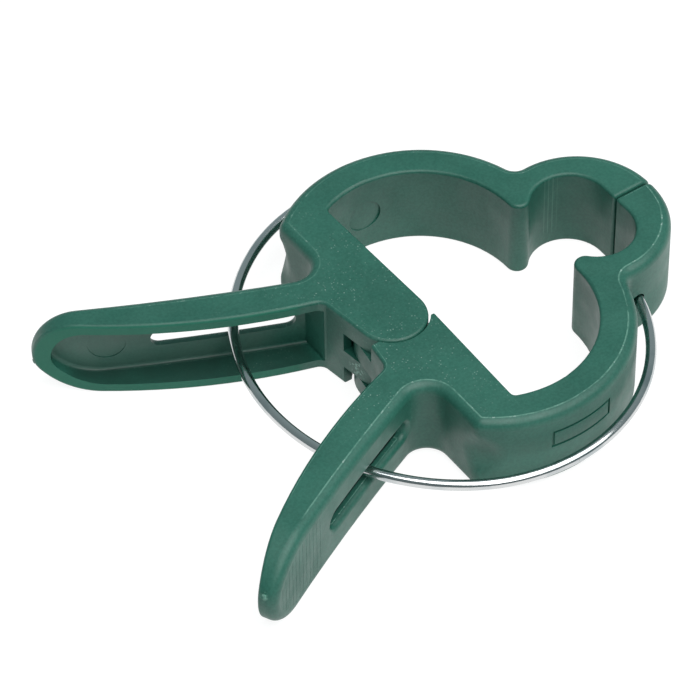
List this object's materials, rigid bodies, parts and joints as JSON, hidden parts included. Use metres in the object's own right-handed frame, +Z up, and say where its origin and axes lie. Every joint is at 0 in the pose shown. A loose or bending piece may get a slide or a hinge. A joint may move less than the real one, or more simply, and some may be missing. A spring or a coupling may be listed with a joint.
{
  "type": "spring plant clip",
  "caption": "Hinged plastic spring clip with lobed jaws that hold a plant stem to a stake, closed by an open ring of spring wire that runs through slots in its squeeze handles.",
  "frame": {"origin": "the hinge axis, in the underside that the clip lies on", "axes": "+X from the hinge to the jaw tips, +Y to the left arm, +Z up along the hinge axis"},
  "size_m": [0.0835, 0.061, 0.0128],
  "materials": {
    "arm_plastic": "dark green moulded polypropylene, satin, with fine moulding texture",
    "ring_wire": "bright zinc-plated spring steel wire"
  },
  "bodies": {
    "left_arm": {"left_arm": "arm_plastic"},
    "right_arm": {"right_arm": "arm_plastic"},
    "spring_ring": {"spring_ring": "ring_wire"}
  },
  "joints": [
    {"name": "jaw_open", "type": "hinge", "parent": "left_arm", "child": "right_arm", "pos_m": [0, 0, 0.0064], "axis": [0, 0, -1], "range_deg": [0, 45], "stiffness_Nm_per_rad": 0.25, "springref_deg": -5.73, "deforming": ["spring_ring"]},
    {"name": "ring_follow", "type": "hinge", "parent": "left_arm", "child": "spring_ring", "pos_m": [0, 0, 0.0064], "axis": [0, 0, -1], "range_deg": [0, 22.5]}
  ],
  "couplings": [
    {"joint": "ring_follow", "follows": "jaw_open", "ratio": 0.5}
  ]
}
